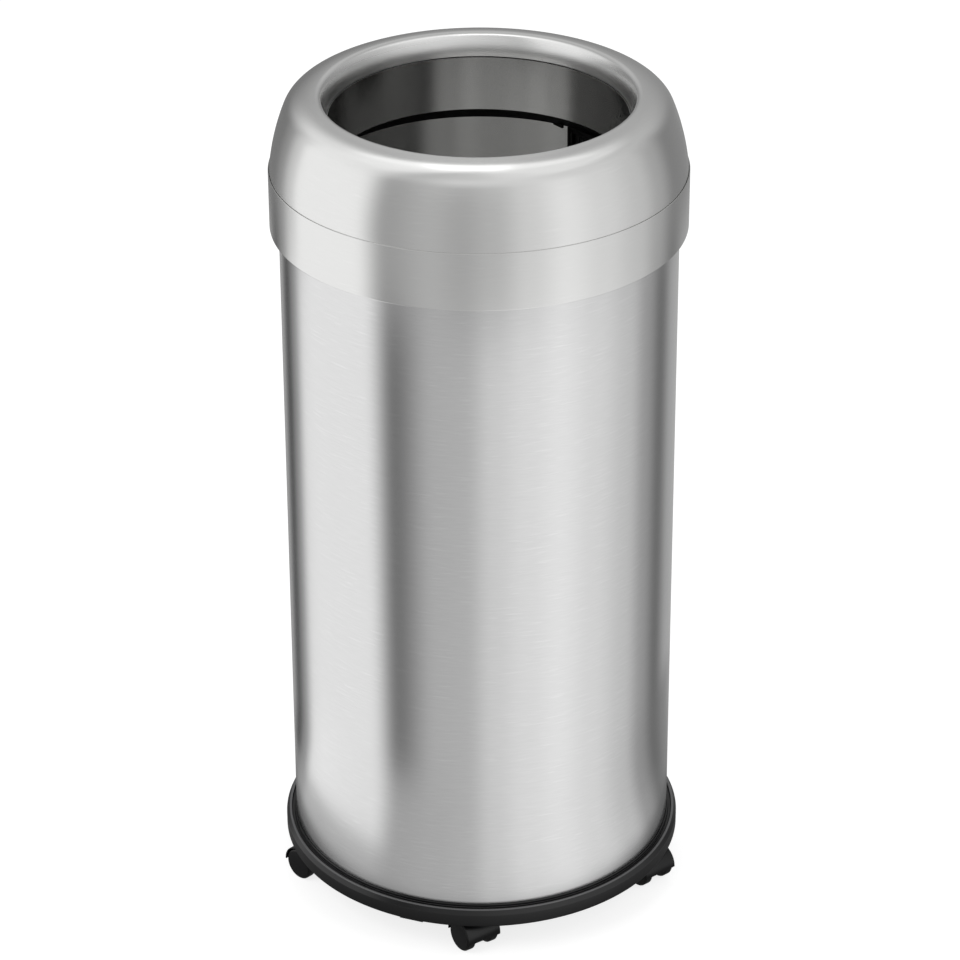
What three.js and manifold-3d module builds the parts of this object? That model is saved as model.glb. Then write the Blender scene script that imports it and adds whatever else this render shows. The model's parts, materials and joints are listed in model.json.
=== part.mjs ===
// Wheeled open top trash can: a brushed steel tube standing in a moulded black base on five
// twin-wheel casters, under a lift-off lid of a steel dome, a steel band and a moulded frame.
// Lengths are millimetres and angles degrees. +Z is up, the floor is at zero and the front faces -Y.
// Azimuths turn from the front (-Y) towards +X.
import * as THREE from 'three';
import { mergeVertices } from 'three/addons/utils/BufferGeometryUtils.js';
import Module from 'manifold-3d';

const wasm = await Module();
wasm.setup();

// Sheet, clearances and overruns
const sheet = 0.8;
const fitGap = 0.3;
const runGap = 0.6;
const cutOver = 1;

// Facets of the round pieces
const roundSides = 48;
const wheelSides = 16;
const stemSides = 12;
const pinSides = 8;

// Casters
const casterCount = 5;
const casterInset = 20.3;
const casterAzimuth = -1.8;
const casterHeadings = [214.4, 39.2, 38, 38, 225];
const casterTrail = 3;
const wheelRadius = 15.9;
const wheelWidth = 10.8;
const wheelRound = 1.8;
const wheelDish = 0.9;
const wheelDishShare = 0.72;
const wheelSkin = 2;
const axleRadius = 2;
const boreGap = 0.4;
const hoodTreadGap = 0.8;
const hoodWall = 1.3;
const hoodWeb = 13.8;
const hoodSkirtAngle = -3;
const hoodBrowAngle = 186;
const hoodHubRadius = 6;
const hoodFootAngle = 215;
const stemRadius = 4;
const stemLength = 29.2;
const stemTipRadius = 3.2;
const stemTip = 2.5;
const stemSeat = 14;
const flangeRadius = 7.2;
const flangeThickness = 1.6;
const sleeveWall = 1.3;
const sleeveLip = 1.2;
const sleeveLipRadius = 7;
const swingClearance = 1.2;

// Base moulding
const baseOverhang = 9.8;
const rimFace = 12.7;
const chamferRise = 4.3;
const chamferRun = 3;
const rimWall = 2.6;
const lipWidth = 2.2;
const grooveDepth = 3.1;
const collarWall = 1.3;
const collarRise = 2.5;
const slotSink = 1.2;
const moulding = 2.5;
const stemHeadroom = 1;
const bossWall = 3;
const ribsPerCaster = 3;
const ribThickness = 2.2;
const ribDepth = 14;
const hubRingRadius = 34;
const midRingRadius = 112;
const lugStart = -24;
const lugEnd = -17;
const lugDrop = 1.4;
const lugWidth = 6;
const lugInset = 0.65;

// Body tube
const bodyRadius = 183.2;
const rimHeight = 730;
const hemWidth = 2.6;
const hemHeight = 3.4;

// Lid: band, dome and mouth
const lidOverhang = 8.3;
const bandHeight = 55;
const seamRise = 9.2;
const bandHem = 1.6;
const domeTuck = 6;
const domeLean = 5.6;
const domeWallRadius = 201;
const domeWallLean = 21.7;
const shoulderRadius = 22.3;
const shoulderLean = 60;
const crestLean = 90;
const mouthLean = 180;
const crownRadius = 40.2;
const rollRadius = 10.2;
const domeSteps = 4;
const mouthSkirt = 14;
const collarLap = 5;
const collarHeight = 55.3;

// Lid frame
const frameWall = 2;
const frameSleeve = 9;
const flareDrop = 15.1;
const flareRun = 18.5;
const spigotGap = 0.5;
const frameRibCount = 15;
const frameRibThickness = 2;
const frameRibGap = 0.5;

// Odour filter pockets
const pocketAzimuths = { right: 130, left: 310 };
const pocketGap = 1.1;
const pocketWidth = 100;
const pocketHeight = 32;
const pocketDepth = 21;
const pocketWall = 1.8;
const coverThickness = 1.8;
const barrelRadius = 2.2;
const pinRadius = 1;
const slotCount = 9;
const slotWidthShare = 0.5;
const slotHeightShare = 0.62;
const padThickness = 12;
const padTrim = 1.5;
const tabWidth = 13;
const tabDrop = 2.4;
const tabThickness = 2.5;

// Heights and radii that follow
const baseRadius = bodyRadius + baseOverhang;
const lidRadius = bodyRadius + lidOverhang;
const seamHeight = rimHeight + seamRise;
const casterRing = baseRadius - casterInset;
const hoodRadius = wheelRadius + hoodTreadGap + hoodWall;
const hoodTop = wheelRadius + hoodRadius;
const baseBottom = hoodTop + swingClearance;
const rimTop = baseBottom + rimFace + chamferRise;
const grooveFloor = rimTop - grooveDepth;
const slotFloor = grooveFloor - slotSink;
const collarTop = rimTop + collarRise;
const stemTop = hoodTop + stemLength;
const floorUnder = stemTop + stemHeadroom + moulding;
const floorTop = floorUnder + moulding;
const plugRadius = bodyRadius - sheet - fitGap;
const plugInner = plugRadius - moulding;
const rimInner = baseRadius - rimWall;
const boreRadius = stemRadius + boreGap / 2;
const sleeveRadius = boreRadius + sleeveWall;
const sleeveLipBottom = hoodTop + flangeThickness + 2 * fitGap;
const sleeveLipTop = sleeveLipBottom + sleeveLip;
const bossBottom = sleeveLipTop + fitGap;
const wheelBore = axleRadius + boreGap;
const wheelInset = hoodWeb / 2 + runGap;
const bodyBottom = slotFloor + fitGap;
const bandInner = lidRadius - sheet;
const bandBottom = seamHeight - bandHeight;
const domeRadius = bandInner - fitGap;
const domeBottom = seamHeight - domeTuck;
const seatBottom = rimHeight + fitGap;
const seatTop = seatBottom + frameWall;
const spigotRadius = bodyRadius - sheet - hemWidth - spigotGap;
const pocketHalf = pocketWidth / 2;
const pocketReach = Math.sqrt((spigotRadius - pocketGap) ** 2 - pocketHalf ** 2) - pocketDepth;

const radians = THREE.MathUtils.degToRad;
const quarterTurn = Math.PI / 2;
const fullTurn = 2 * Math.PI;

const steel = { color: 0xb9bab6, roughness: 0.32, metalness: 1 };
const innerSteel = { color: 0x9b9c99, roughness: 0.4, metalness: 1 };
const blackPlastic = { color: 0x262626, roughness: 0.5, metalness: 0 };
const nylon = { color: 0x1c1c1d, roughness: 0.42, metalness: 0 };
const plated = { color: 0xa6a8aa, roughness: 0.3, metalness: 1 };
const carbon = { color: 0x17181a, roughness: 0.95, metalness: 0 };

// Solids from three.js geometries

function solidOf(geometry) {
  const bare = geometry.index ? geometry.toNonIndexed() : geometry.clone();
  bare.deleteAttribute('normal');
  bare.deleteAttribute('uv');
  const merged = mergeVertices(bare);
  const index = merged.index.array;
  const triVerts = [];
  for (let i = 0; i < index.length; i += 3) {
    const [a, b, c] = [index[i], index[i + 1], index[i + 2]];
    if (a !== b && b !== c && c !== a) triVerts.push(a, b, c);
  }
  return new wasm.Manifold(new wasm.Mesh({
    numProp: 3,
    vertProperties: Float32Array.from(merged.attributes.position.array),
    triVerts: Uint32Array.from(triVerts),
  }));
}

function meshOf(name, solid, finish) {
  const data = solid.getMesh();
  const geometry = new THREE.BufferGeometry();
  geometry.setAttribute('position', new THREE.BufferAttribute(data.vertProperties, 3));
  geometry.setIndex(new THREE.BufferAttribute(data.triVerts, 1));
  geometry.computeVertexNormals();
  const mesh = new THREE.Mesh(geometry, new THREE.MeshStandardMaterial(finish));
  mesh.name = name;
  return mesh;
}

// A profile of [radius, height] points turned round Z. It runs upwards on its outer side.
function revolve(profile, sides = roundSides) {
  const points = profile.map(([r, z]) => new THREE.Vector2(r, z));
  return new THREE.LatheGeometry(points, sides).rotateX(quarterTurn);
}

// A ring or tube: the closed profile starts and ends at its first point.
function revolveClosed(profile, sides = roundSides) {
  return revolve([...profile, profile[0]], sides);
}

// A cylinder standing on a height, round a vertical axis.
function post(radius, bottom, top, sides) {
  return revolve([[0, bottom], [radius, bottom], [radius, top], [0, top]], sides);
}

// An outline in X and Z, as thick as width and centred on the XZ plane.
function slab(outline, width, curveSegments = 6) {
  const settings = { depth: width, bevelEnabled: false, curveSegments };
  return new THREE.ExtrudeGeometry(outline, settings)
    .translate(0, 0, -width / 2)
    .rotateX(quarterTurn);
}

// A box from its lowest and highest corners.
function block(low, high) {
  const size = high.map((value, i) => value - low[i]);
  const middle = high.map((value, i) => (value + low[i]) / 2);
  return new THREE.BoxGeometry(...size).translate(...middle);
}

// Lid

// The dome's section is a chain of arcs that run into each other, from the leaning wall over
// the tight shoulder and the crown to the roll into the mouth. Inset moves it into the sheet,
// and steps is the number of facets that each arc has.
function domeSection(inset, steps) {
  const arcs = [
    { radius: domeWallRadius, from: domeLean, to: domeWallLean },
    { radius: shoulderRadius, from: domeWallLean, to: shoulderLean },
    { radius: crownRadius, from: shoulderLean, to: crestLean },
    { radius: rollRadius, from: crestLean, to: mouthLean },
  ];
  const start = radians(arcs[0].from);
  const points = [];
  let [endR, endZ] = [domeRadius, seamHeight];
  points.push([endR - inset * Math.cos(start), endZ - inset * Math.sin(start)]);
  for (const arc of arcs) {
    const centreR = endR - arc.radius * Math.cos(radians(arc.from));
    const centreZ = endZ - arc.radius * Math.sin(radians(arc.from));
    for (let i = 1; i <= steps; i += 1) {
      const lean = radians(arc.from + (arc.to - arc.from) * i / steps);
      points.push([
        centreR + (arc.radius - inset) * Math.cos(lean),
        centreZ + (arc.radius - inset) * Math.sin(lean),
      ]);
    }
    endR = centreR + arc.radius * Math.cos(radians(arc.to));
    endZ = centreZ + arc.radius * Math.sin(radians(arc.to));
  }
  return points;
}

const domeOuter = domeSection(0, domeSteps);
const domeInner = domeSection(sheet, domeSteps / 2);
const [mouthRadius, rollBottom] = domeOuter.at(-1);
const mouthSkirtBottom = rollBottom - mouthSkirt;
const collarOuter = mouthRadius - fitGap;
const collarInner = collarOuter - sheet;
const mouthCollarTop = mouthSkirtBottom + collarLap;
const mouthCollarBottom = mouthCollarTop - collarHeight;
const flareTop = mouthCollarBottom - fitGap;
const flareBottom = flareTop - flareDrop;
const flareRadius = collarInner + flareRun;

function makeLidDome() {
  const profile = [
    [domeRadius, domeBottom],
    ...domeOuter,
    [mouthRadius, mouthSkirtBottom],
    [mouthRadius + sheet, mouthSkirtBottom],
    ...domeInner.reverse(),
    [domeRadius - sheet, domeBottom],
  ];
  return meshOf('lid_dome', solidOf(revolveClosed(profile)), steel);
}

// The band's lower edge is folded inwards.
function makeLidBand() {
  const hemInner = bandInner - bandHem + fitGap;
  return meshOf('lid_band', solidOf(revolveClosed([
    [hemInner, bandBottom],
    [lidRadius, bandBottom],
    [lidRadius, seamHeight],
    [bandInner, seamHeight],
    [bandInner, bandBottom + sheet],
    [hemInner, bandBottom + sheet],
  ])), steel);
}

function makeMouthCollar() {
  return meshOf('mouth_collar', solidOf(revolveClosed([
    [collarInner, mouthCollarBottom],
    [collarOuter, mouthCollarBottom],
    [collarOuter, mouthCollarTop],
    [collarInner, mouthCollarTop],
  ])), innerSteel);
}

// The frame holds the collar in a sleeve, flares out under it, stands in the tube as a spigot,
// rests on the tube's rim and carries the band on its skirt.
function makeLidFrame() {
  const sleeveInner = collarOuter + fitGap;
  const sleeveOuter = sleeveInner + frameWall;
  const sleeveTop = flareTop + frameSleeve;
  const skirtOuter = bandInner - fitGap;
  const skirtInner = skirtOuter - frameWall;
  const skirtBottom = bandBottom + sheet + fitGap;
  const frame = solidOf(revolveClosed([
    [flareRadius, flareBottom],
    [spigotRadius, flareBottom],
    [spigotRadius, seatBottom],
    [skirtInner, seatBottom],
    [skirtInner, skirtBottom],
    [skirtOuter, skirtBottom],
    [skirtOuter, seatTop],
    [spigotRadius - frameWall, seatTop],
    [spigotRadius - frameWall, flareBottom + frameWall],
    [flareRadius + frameWall, flareBottom + frameWall],
    [sleeveOuter, flareTop],
    [sleeveOuter, sleeveTop],
    [sleeveInner, sleeveTop],
    [sleeveInner, flareTop],
    [collarInner, flareTop],
  ]));
  // Ribs on the skirt centre the lid on the tube.
  const ribInner = bodyRadius + frameRibGap;
  const ribs = [];
  for (let i = 0; i < frameRibCount; i += 1) {
    const rib = block(
      [ribInner, -frameRibThickness / 2, skirtBottom],
      [skirtInner + frameWall / 2, frameRibThickness / 2, seatBottom + frameWall / 2],
    );
    ribs.push(solidOf(rib.rotateZ(fullTurn * i / frameRibCount)));
  }
  // A snap tab stands beside each pocket, on the flare's lower edge.
  const tabSide = pocketHalf + fitGap;
  const tab = block(
    [pocketReach, tabSide, flareBottom - tabDrop],
    [pocketReach + tabThickness, tabSide + tabWidth, flareBottom + frameWall / 2],
  );
  const tabShift = Math.sqrt(flareRadius ** 2 - (tabSide + tabWidth / 2) ** 2) - pocketReach;
  const tabs = Object.values(pocketAzimuths).map((azimuth) => (
    solidOf(tab.clone().translate(tabShift, 0, 0).rotateZ(radians(azimuth) - quarterTurn))
  ));
  return meshOf('lid_frame', wasm.Manifold.union([frame, ...ribs, ...tabs]), blackPlastic);
}

// Odour filter pockets. Each is made with its door facing -X and its middle on the X axis, then
// turned to its azimuth.

const pocketTop = flareBottom - fitGap;
const pocketBottom = pocketTop - pocketHeight;
const pocketFloor = pocketBottom + pocketWall;
const cavityHalf = pocketHalf - pocketWall;
const cavityTop = pocketTop - pocketWall;
const hingeHeight = pocketFloor + barrelRadius + fitGap;
const hingeReach = pocketReach + barrelRadius;

function rodAlongY(radius, halfLength, sides = pinSides) {
  return post(radius, -halfLength, halfLength, sides)
    .rotateX(quarterTurn)
    .translate(hingeReach, 0, hingeHeight);
}

function makeFilterPocket(side) {
  const shell = solidOf(block(
    [pocketReach, -pocketHalf, pocketBottom],
    [pocketReach + pocketDepth, pocketHalf, pocketTop],
  ));
  const cavity = solidOf(block(
    [pocketReach - cutOver, -cavityHalf, pocketFloor],
    [pocketReach + pocketDepth - pocketWall, cavityHalf, cavityTop],
  ));
  const pinHole = solidOf(rodAlongY(pinRadius + boreGap / 2, pocketHalf + cutOver));
  return meshOf(`filter_pocket_${side}`, shell.subtract(cavity).subtract(pinHole), blackPlastic);
}

// The cover is a slotted plate on a hinge barrel, and swings in and down on its pin.
function makeFilterCover(side) {
  const coverHalf = cavityHalf - runGap;
  const coverTop = cavityTop - runGap;
  const plateFront = hingeReach - coverThickness / 2;
  const plateBack = plateFront + coverThickness;
  const plate = solidOf(block(
    [plateFront, -coverHalf, hingeHeight],
    [plateBack, coverHalf, coverTop],
  ));
  const barrel = solidOf(rodAlongY(barrelRadius, coverHalf, stemSides));
  const bore = solidOf(rodAlongY(pinRadius + boreGap, coverHalf + cutOver));
  const pitch = 2 * coverHalf / slotCount;
  const slotHalf = pitch * slotWidthShare / 2;
  const plateHeight = coverTop - hingeHeight - barrelRadius;
  const slotMargin = plateHeight * (1 - slotHeightShare) / 2;
  const slots = [];
  for (let i = 0; i < slotCount; i += 1) {
    const middle = -coverHalf + pitch * (i + 1 / 2);
    slots.push(solidOf(block(
      [plateFront - cutOver, middle - slotHalf, hingeHeight + barrelRadius + slotMargin],
      [plateBack + cutOver, middle + slotHalf, coverTop - slotMargin],
    )));
  }
  const cover = plate.add(barrel).subtract(wasm.Manifold.union([bore, ...slots]));
  return meshOf(`filter_cover_${side}`, cover, blackPlastic);
}

function makeFilterPin(side) {
  const pin = rodAlongY(pinRadius, pocketHalf - fitGap);
  return meshOf(`filter_pin_${side}`, solidOf(pin), plated);
}

function makeFilterPad(side) {
  const padBack = pocketReach + pocketDepth - pocketWall - fitGap;
  const pad = block(
    [padBack - padThickness, -cavityHalf + padTrim, pocketFloor + fitGap],
    [padBack, cavityHalf - padTrim, cavityTop - padTrim],
  );
  return meshOf(`filter_pad_${side}`, solidOf(pad), carbon);
}

function makeFilterSet(side) {
  const set = new THREE.Group();
  set.add(makeFilterPocket(side), makeFilterCover(side), makeFilterPin(side), makeFilterPad(side));
  set.rotation.z = radians(pocketAzimuths[side]) - quarterTurn;
  return set;
}

// Body tube, with its rim folded inwards as a flat hem.
function makeBodyTube() {
  const inner = bodyRadius - sheet;
  return meshOf('body_tube', solidOf(revolveClosed([
    [inner, bodyBottom],
    [bodyRadius, bodyBottom],
    [bodyRadius, rimHeight],
    [inner - hemWidth, rimHeight],
    [inner - hemWidth, rimHeight - hemHeight],
    [inner - hemWidth + sheet, rimHeight - hemHeight],
    [inner - hemWidth + sheet, rimHeight - sheet],
    [inner, rimHeight - sheet],
  ])), steel);
}

// Base: one moulding. A rim with a chamfer and a groove runs round it, a collar and a plug hold
// the tube between them, and the floor on the plug is ribbed underneath and carries the stems.
function makeBase() {
  const slotOuter = bodyRadius + fitGap;
  const collarOut = slotOuter + collarWall;
  const lipRadius = baseRadius - chamferRun;
  const shell = solidOf(revolve([
    [0, floorUnder],
    [plugInner, floorUnder],
    [plugInner, slotFloor - moulding],
    [rimInner, slotFloor - moulding],
    [rimInner, baseBottom],
    [baseRadius, baseBottom],
    [baseRadius, rimTop - chamferRise],
    [lipRadius, rimTop],
    [lipRadius - lipWidth, rimTop],
    [lipRadius - lipWidth, grooveFloor],
    [collarOut, grooveFloor],
    [collarOut, collarTop],
    [slotOuter, collarTop],
    [slotOuter, slotFloor],
    [plugRadius, slotFloor],
    [plugRadius, floorTop],
    [0, floorTop],
  ]));
  const additions = [];
  const cuts = [];
  // Radial ribs between the hub ring and the plug, in step with the casters
  const ribCount = casterCount * ribsPerCaster;
  const ribBottom = floorUnder - ribDepth;
  const ribTop = floorUnder + moulding / 2;
  for (let i = 0; i < ribCount; i += 1) {
    const azimuth = radians(casterAzimuth) + fullTurn * i / ribCount;
    const rib = block(
      [-ribThickness / 2, -(plugInner + moulding / 2), ribBottom],
      [ribThickness / 2, -hubRingRadius, ribTop],
    );
    additions.push(solidOf(rib.rotateZ(azimuth)));
  }
  for (const radius of [hubRingRadius, midRingRadius]) {
    additions.push(solidOf(revolveClosed([
      [radius - ribThickness, ribBottom],
      [radius, ribBottom],
      [radius, ribTop],
      [radius - ribThickness, ribTop],
    ], roundSides / 2)));
  }
  // A boss for each caster, tied to the plug's wall by a fin, with a blind bore for its sleeve
  const bossRadius = sleeveRadius + fitGap + bossWall;
  for (let i = 0; i < casterCount; i += 1) {
    const azimuth = radians(casterAzimuth) + fullTurn * i / casterCount;
    const boss = post(bossRadius, bossBottom, ribTop, stemSides).translate(0, -casterRing, 0);
    const fin = block(
      [-ribThickness, -(plugInner + moulding / 2), slotFloor],
      [ribThickness, -(casterRing - bossRadius * 2), ribTop],
    );
    const bore = post(sleeveRadius + fitGap, bossBottom - cutOver, stemTop + stemHeadroom, stemSides)
      .translate(0, -casterRing, 0);
    additions.push(solidOf(boss.rotateZ(azimuth)), solidOf(fin.rotateZ(azimuth)));
    cuts.push(solidOf(bore.rotateZ(azimuth)));
  }
  // A low lug under the rim
  const lugOuter = baseRadius - lugInset;
  const lugMiddle = (lugStart + lugEnd) / 2;
  const lugLength = lugOuter * radians(lugEnd - lugStart);
  const lug = block(
    [-lugLength / 2, -lugOuter + lugInset, baseBottom - lugDrop],
    [lugLength / 2, -lugOuter + lugWidth, slotFloor - moulding / 2],
  );
  additions.push(solidOf(lug.rotateZ(radians(lugMiddle))));
  const base = wasm.Manifold.union([shell, ...additions])
    .subtract(wasm.Manifold.union(cuts));
  return meshOf('base_moulding', base, blackPlastic);
}

// Casters. Each is made with its stem on Z and its wheels trailing along +X, on an axle along Y.

function alongAxle(geometry) {
  return geometry.rotateX(quarterTurn).translate(casterTrail, 0, wheelRadius);
}

// The hood is a central web that carries the stem and the axle, under a fender that covers the
// upper half of both treads.
function makeHood(name) {
  const skirt = radians(hoodSkirtAngle);
  const brow = radians(hoodBrowAngle);
  const foot = radians(hoodFootAngle);
  const bossRadius = hoodWeb / 2;
  const fenderWidth = 2 * (wheelInset + wheelWidth);
  const fender = new THREE.Shape();
  fender.absarc(casterTrail, wheelRadius, hoodRadius, skirt, brow, false);
  fender.absarc(casterTrail, wheelRadius, hoodRadius - hoodWall, brow, skirt, true);
  const web = new THREE.Shape();
  web.absarc(casterTrail, wheelRadius, hoodRadius - hoodWall / 2, skirt, brow, false);
  web.lineTo(-bossRadius, hoodTop - stemSeat);
  web.absarc(casterTrail, wheelRadius, hoodHubRadius, foot, skirt, false);
  const boss = solidOf(post(bossRadius, hoodTop - stemSeat - moulding, hoodTop, stemSides));
  const stemBore = solidOf(post(boreRadius, hoodTop - stemSeat, hoodTop + cutOver, stemSides));
  const axleBore = solidOf(alongAxle(post(axleRadius + fitGap, -hoodWeb, hoodWeb, pinSides)));
  const hood = solidOf(slab(fender, fenderWidth))
    .add(solidOf(slab(web, hoodWeb)))
    .add(boss)
    .subtract(stemBore)
    .subtract(axleBore);
  return meshOf(name, hood, nylon);
}

// The stem has a flange that bears under the sleeve and a tapered tip.
function makeStem(name) {
  const flangeBottom = hoodTop + fitGap;
  const flangeTop = flangeBottom + flangeThickness;
  return meshOf(name, solidOf(revolve([
    [0, hoodTop - stemSeat + fitGap],
    [stemRadius, hoodTop - stemSeat + fitGap],
    [stemRadius, flangeBottom],
    [flangeRadius, flangeBottom],
    [flangeRadius, flangeTop],
    [stemRadius, flangeTop],
    [stemRadius, stemTop - stemTip],
    [stemTipRadius, stemTop],
    [0, stemTop],
  ], stemSides)), plated);
}

function makeSleeve(name) {
  return meshOf(name, solidOf(revolveClosed([
    [boreRadius, sleeveLipBottom],
    [sleeveLipRadius, sleeveLipBottom],
    [sleeveLipRadius, sleeveLipTop],
    [sleeveRadius, sleeveLipTop],
    [sleeveRadius, stemTop],
    [boreRadius, stemTop],
  ], stemSides)), plated);
}

function makeAxle(name) {
  const half = wheelInset + wheelWidth - wheelSkin - wheelDish - fitGap;
  return meshOf(name, solidOf(alongAxle(post(axleRadius, -half, half, pinSides))), plated);
}

// A wheel has a rounded tread, a dished outer face and a blind bore. Side is 1 or -1 along Y.
function makeWheel(name, side) {
  const boreEnd = wheelWidth - wheelSkin - wheelDish;
  const wheel = revolve([
    [0, boreEnd],
    [wheelBore, boreEnd],
    [wheelBore, 0],
    [wheelRadius - wheelRound, 0],
    [wheelRadius, wheelRound],
    [wheelRadius, wheelWidth - wheelRound],
    [wheelRadius - wheelRound, wheelWidth],
    [wheelRadius * wheelDishShare, wheelWidth - wheelDish],
    [0, wheelWidth - wheelDish],
  ], wheelSides).translate(0, 0, wheelInset);
  // Turning Z to Y keeps the solid's faces outward on both sides.
  wheel.rotateX(-side * quarterTurn).translate(casterTrail, 0, wheelRadius);
  return meshOf(name, solidOf(wheel), nylon);
}

function makeCaster(number) {
  const caster = new THREE.Group();
  const name = `caster_${number + 1}`;
  const azimuth = radians(casterAzimuth) + fullTurn * number / casterCount;
  caster.add(
    makeSleeve(`${name}_sleeve`),
    makeStem(`${name}_stem`),
    makeHood(`${name}_hood`),
    makeAxle(`${name}_axle`),
    makeWheel(`${name}_wheel_left`, -1),
    makeWheel(`${name}_wheel_right`, 1),
  );
  caster.position.set(casterRing * Math.sin(azimuth), -casterRing * Math.cos(azimuth), 0);
  caster.rotation.z = radians(casterHeadings[number]) - quarterTurn;
  return caster;
}

const trashCan = new THREE.Group();
trashCan.add(
  makeLidDome(),
  makeLidBand(),
  makeMouthCollar(),
  makeLidFrame(),
  makeFilterSet('right'),
  makeFilterSet('left'),
  makeBodyTube(),
  makeBase(),
);
for (let i = 0; i < casterCount; i += 1) {
  trashCan.add(makeCaster(i));
}

export default trashCan;
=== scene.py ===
import json
import math
import bmesh
import bpy
from mathutils import Matrix, Vector


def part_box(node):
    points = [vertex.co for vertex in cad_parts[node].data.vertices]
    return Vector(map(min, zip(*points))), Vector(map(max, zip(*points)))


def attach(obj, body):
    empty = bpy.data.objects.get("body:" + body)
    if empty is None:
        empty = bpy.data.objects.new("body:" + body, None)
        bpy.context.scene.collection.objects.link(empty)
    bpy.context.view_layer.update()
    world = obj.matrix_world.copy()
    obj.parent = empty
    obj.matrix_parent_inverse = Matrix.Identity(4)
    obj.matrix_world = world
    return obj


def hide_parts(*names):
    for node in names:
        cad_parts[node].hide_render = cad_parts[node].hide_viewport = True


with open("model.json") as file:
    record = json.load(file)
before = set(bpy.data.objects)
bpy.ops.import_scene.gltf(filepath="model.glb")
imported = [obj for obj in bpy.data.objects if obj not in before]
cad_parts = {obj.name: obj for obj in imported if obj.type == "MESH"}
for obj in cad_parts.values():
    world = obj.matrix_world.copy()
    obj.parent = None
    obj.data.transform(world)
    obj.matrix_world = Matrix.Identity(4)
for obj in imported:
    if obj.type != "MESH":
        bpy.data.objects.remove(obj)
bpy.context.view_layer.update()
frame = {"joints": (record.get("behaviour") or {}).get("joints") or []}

# Wheeled open top trash can. Sizes in the dictionaries are millimetres unless they say otherwise.
mm = 0.001
scene = bpy.context.scene
scene.view_settings.view_transform = "Standard"
joints = {joint["name"]: joint for joint in frame["joints"]}


def toLinear(hexValue):
    # an sRGB hex number to linear red, green, blue and alpha
    channels = [(hexValue >> shift & 255) / 255 for shift in (16, 8, 0)]
    linear = [c / 12.92 if c <= 0.04045 else ((c + 0.055) / 1.055) ** 2.4 for c in channels]
    return (*linear, 1.0)


def setSockets(tree, node, values):
    # a value that is a node or another node's socket is linked, any other value is set
    for key, value in values.items():
        if isinstance(value, bpy.types.Node):
            value = next(socket for socket in value.outputs if socket.enabled)
        if isinstance(value, bpy.types.NodeSocket):
            tree.links.new(value, node.inputs[key])
        else:
            node.inputs[key].default_value = value


def addNode(tree, kind, inputs=None, stops=None, fade="LINEAR", **settings):
    # a node with its settings and its inputs. A ramp's stops are (position, grey from 0 to 1)
    node = tree.nodes.new(kind)
    for name, value in settings.items():
        setattr(node, name, value)
    if stops:
        band = node.color_ramp
        band.interpolation = fade
        while len(band.elements) > 1:
            band.elements.remove(band.elements[-1])
        band.elements[0].position = stops[0][0]
        band.elements[0].color = (*[stops[0][1]] * 3, 1)
        for position, grey in stops[1:]:
            band.elements.new(position).color = (grey, grey, grey, 1)
    setSockets(tree, node, inputs or {})
    return node


def newMaterial(name, kind="ShaderNodeBsdfPrincipled"):
    # a material that shows one shader, with its tree, that shader and the piece's own coordinates
    material = bpy.data.materials.new(name)
    material.use_nodes = True
    tree = material.node_tree
    tree.nodes.clear()
    shader = addNode(tree, kind)
    addNode(tree, "ShaderNodeOutputMaterial", {"Surface": shader})
    place = addNode(tree, "ShaderNodeTexCoord").outputs["Object"]
    return material, tree, shader, place


def shade(mesh, sharpAngle=32):
    # smooth faces, with sharp edges where the surface really turns
    mesh.polygons.foreach_set("use_smooth", [True] * len(mesh.polygons))
    mesh.set_sharp_from_angle(angle=math.radians(sharpAngle))
    mesh.update()
    return mesh


def meshFrom(name, points, faces, edges=()):
    mesh = bpy.data.meshes.new(name)
    mesh.from_pydata(points, edges, faces)
    mesh.update()
    return mesh


def newPiece(name, mesh, material=None):
    piece = bpy.data.objects.new(name, mesh)
    scene.collection.objects.link(piece)
    if material:
        mesh.materials.clear()
        mesh.materials.append(material)
    return piece


def faceOutwards(mesh, weld=False):
    # turns the faces outwards, once doubles are welded and what has no area is dropped
    work = bmesh.new()
    work.from_mesh(mesh)
    if weld:
        bmesh.ops.remove_doubles(work, verts=work.verts, dist=1e-6)
        bmesh.ops.dissolve_degenerate(work, dist=1e-7, edges=work.edges)
    bmesh.ops.recalc_face_normals(work, faces=work.faces)
    work.to_mesh(mesh)
    work.free()
    return mesh


def setInputs(modifier, values):
    # a modifier's inputs are set by the identifiers that the tree gives their names
    for item in modifier.node_group.interface.items_tree:
        if item.item_type == "SOCKET" and item.in_out == "INPUT" and item.name in values:
            modifier[item.identifier] = values[item.name]


def modified(mesh, kind, settings, values=None):
    # what one modifier makes of a mesh, as a plain mesh with no modifier
    piece = newPiece(mesh.name, mesh)
    modifier = piece.modifiers.new("shaped", kind)
    for name, value in settings.items():
        setattr(modifier, name, value)
    if values:
        setInputs(modifier, values)
    graph = bpy.context.evaluated_depsgraph_get()
    result = bpy.data.meshes.new_from_object(piece.evaluated_get(graph))
    bpy.data.objects.remove(piece)
    return result


def joined(name, meshes, material):
    # several meshes as one piece, with their named attributes kept
    parts = [newPiece(f"{name}.{i}", mesh, material) for i, mesh in enumerate(meshes)]
    bpy.ops.object.select_all(action="DESELECT")
    for part in parts:
        part.select_set(True)
    bpy.context.view_layer.objects.active = parts[0]
    bpy.ops.object.join()
    parts[0].name = name
    parts[0].data.name = name
    return parts[0]


# Girthwise brushed stainless sheet: a pale grey mirror with short fine scratches round the can,
# which blur reflections up and down more than sideways.
steelLook = {
    "bodyColor": 0xE2E2E2, "lidColor": 0xE9E9E8, "bodyRoughness": 0.19, "lidRoughness": 0.2,
    "grain": 0.9,           # mm across a scratch, real ones are 0.05, drawn coarse enough to show
    "grainLength": 17.0,    # mm along a scratch
    "toneShare": 0.05, "roughShare": 0.05, "bumpDistance": 0.012, "anisotropic": 0.45,
    "mouthRoughness": 0.0,  # what is added where a face looks at the axis
}
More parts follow.
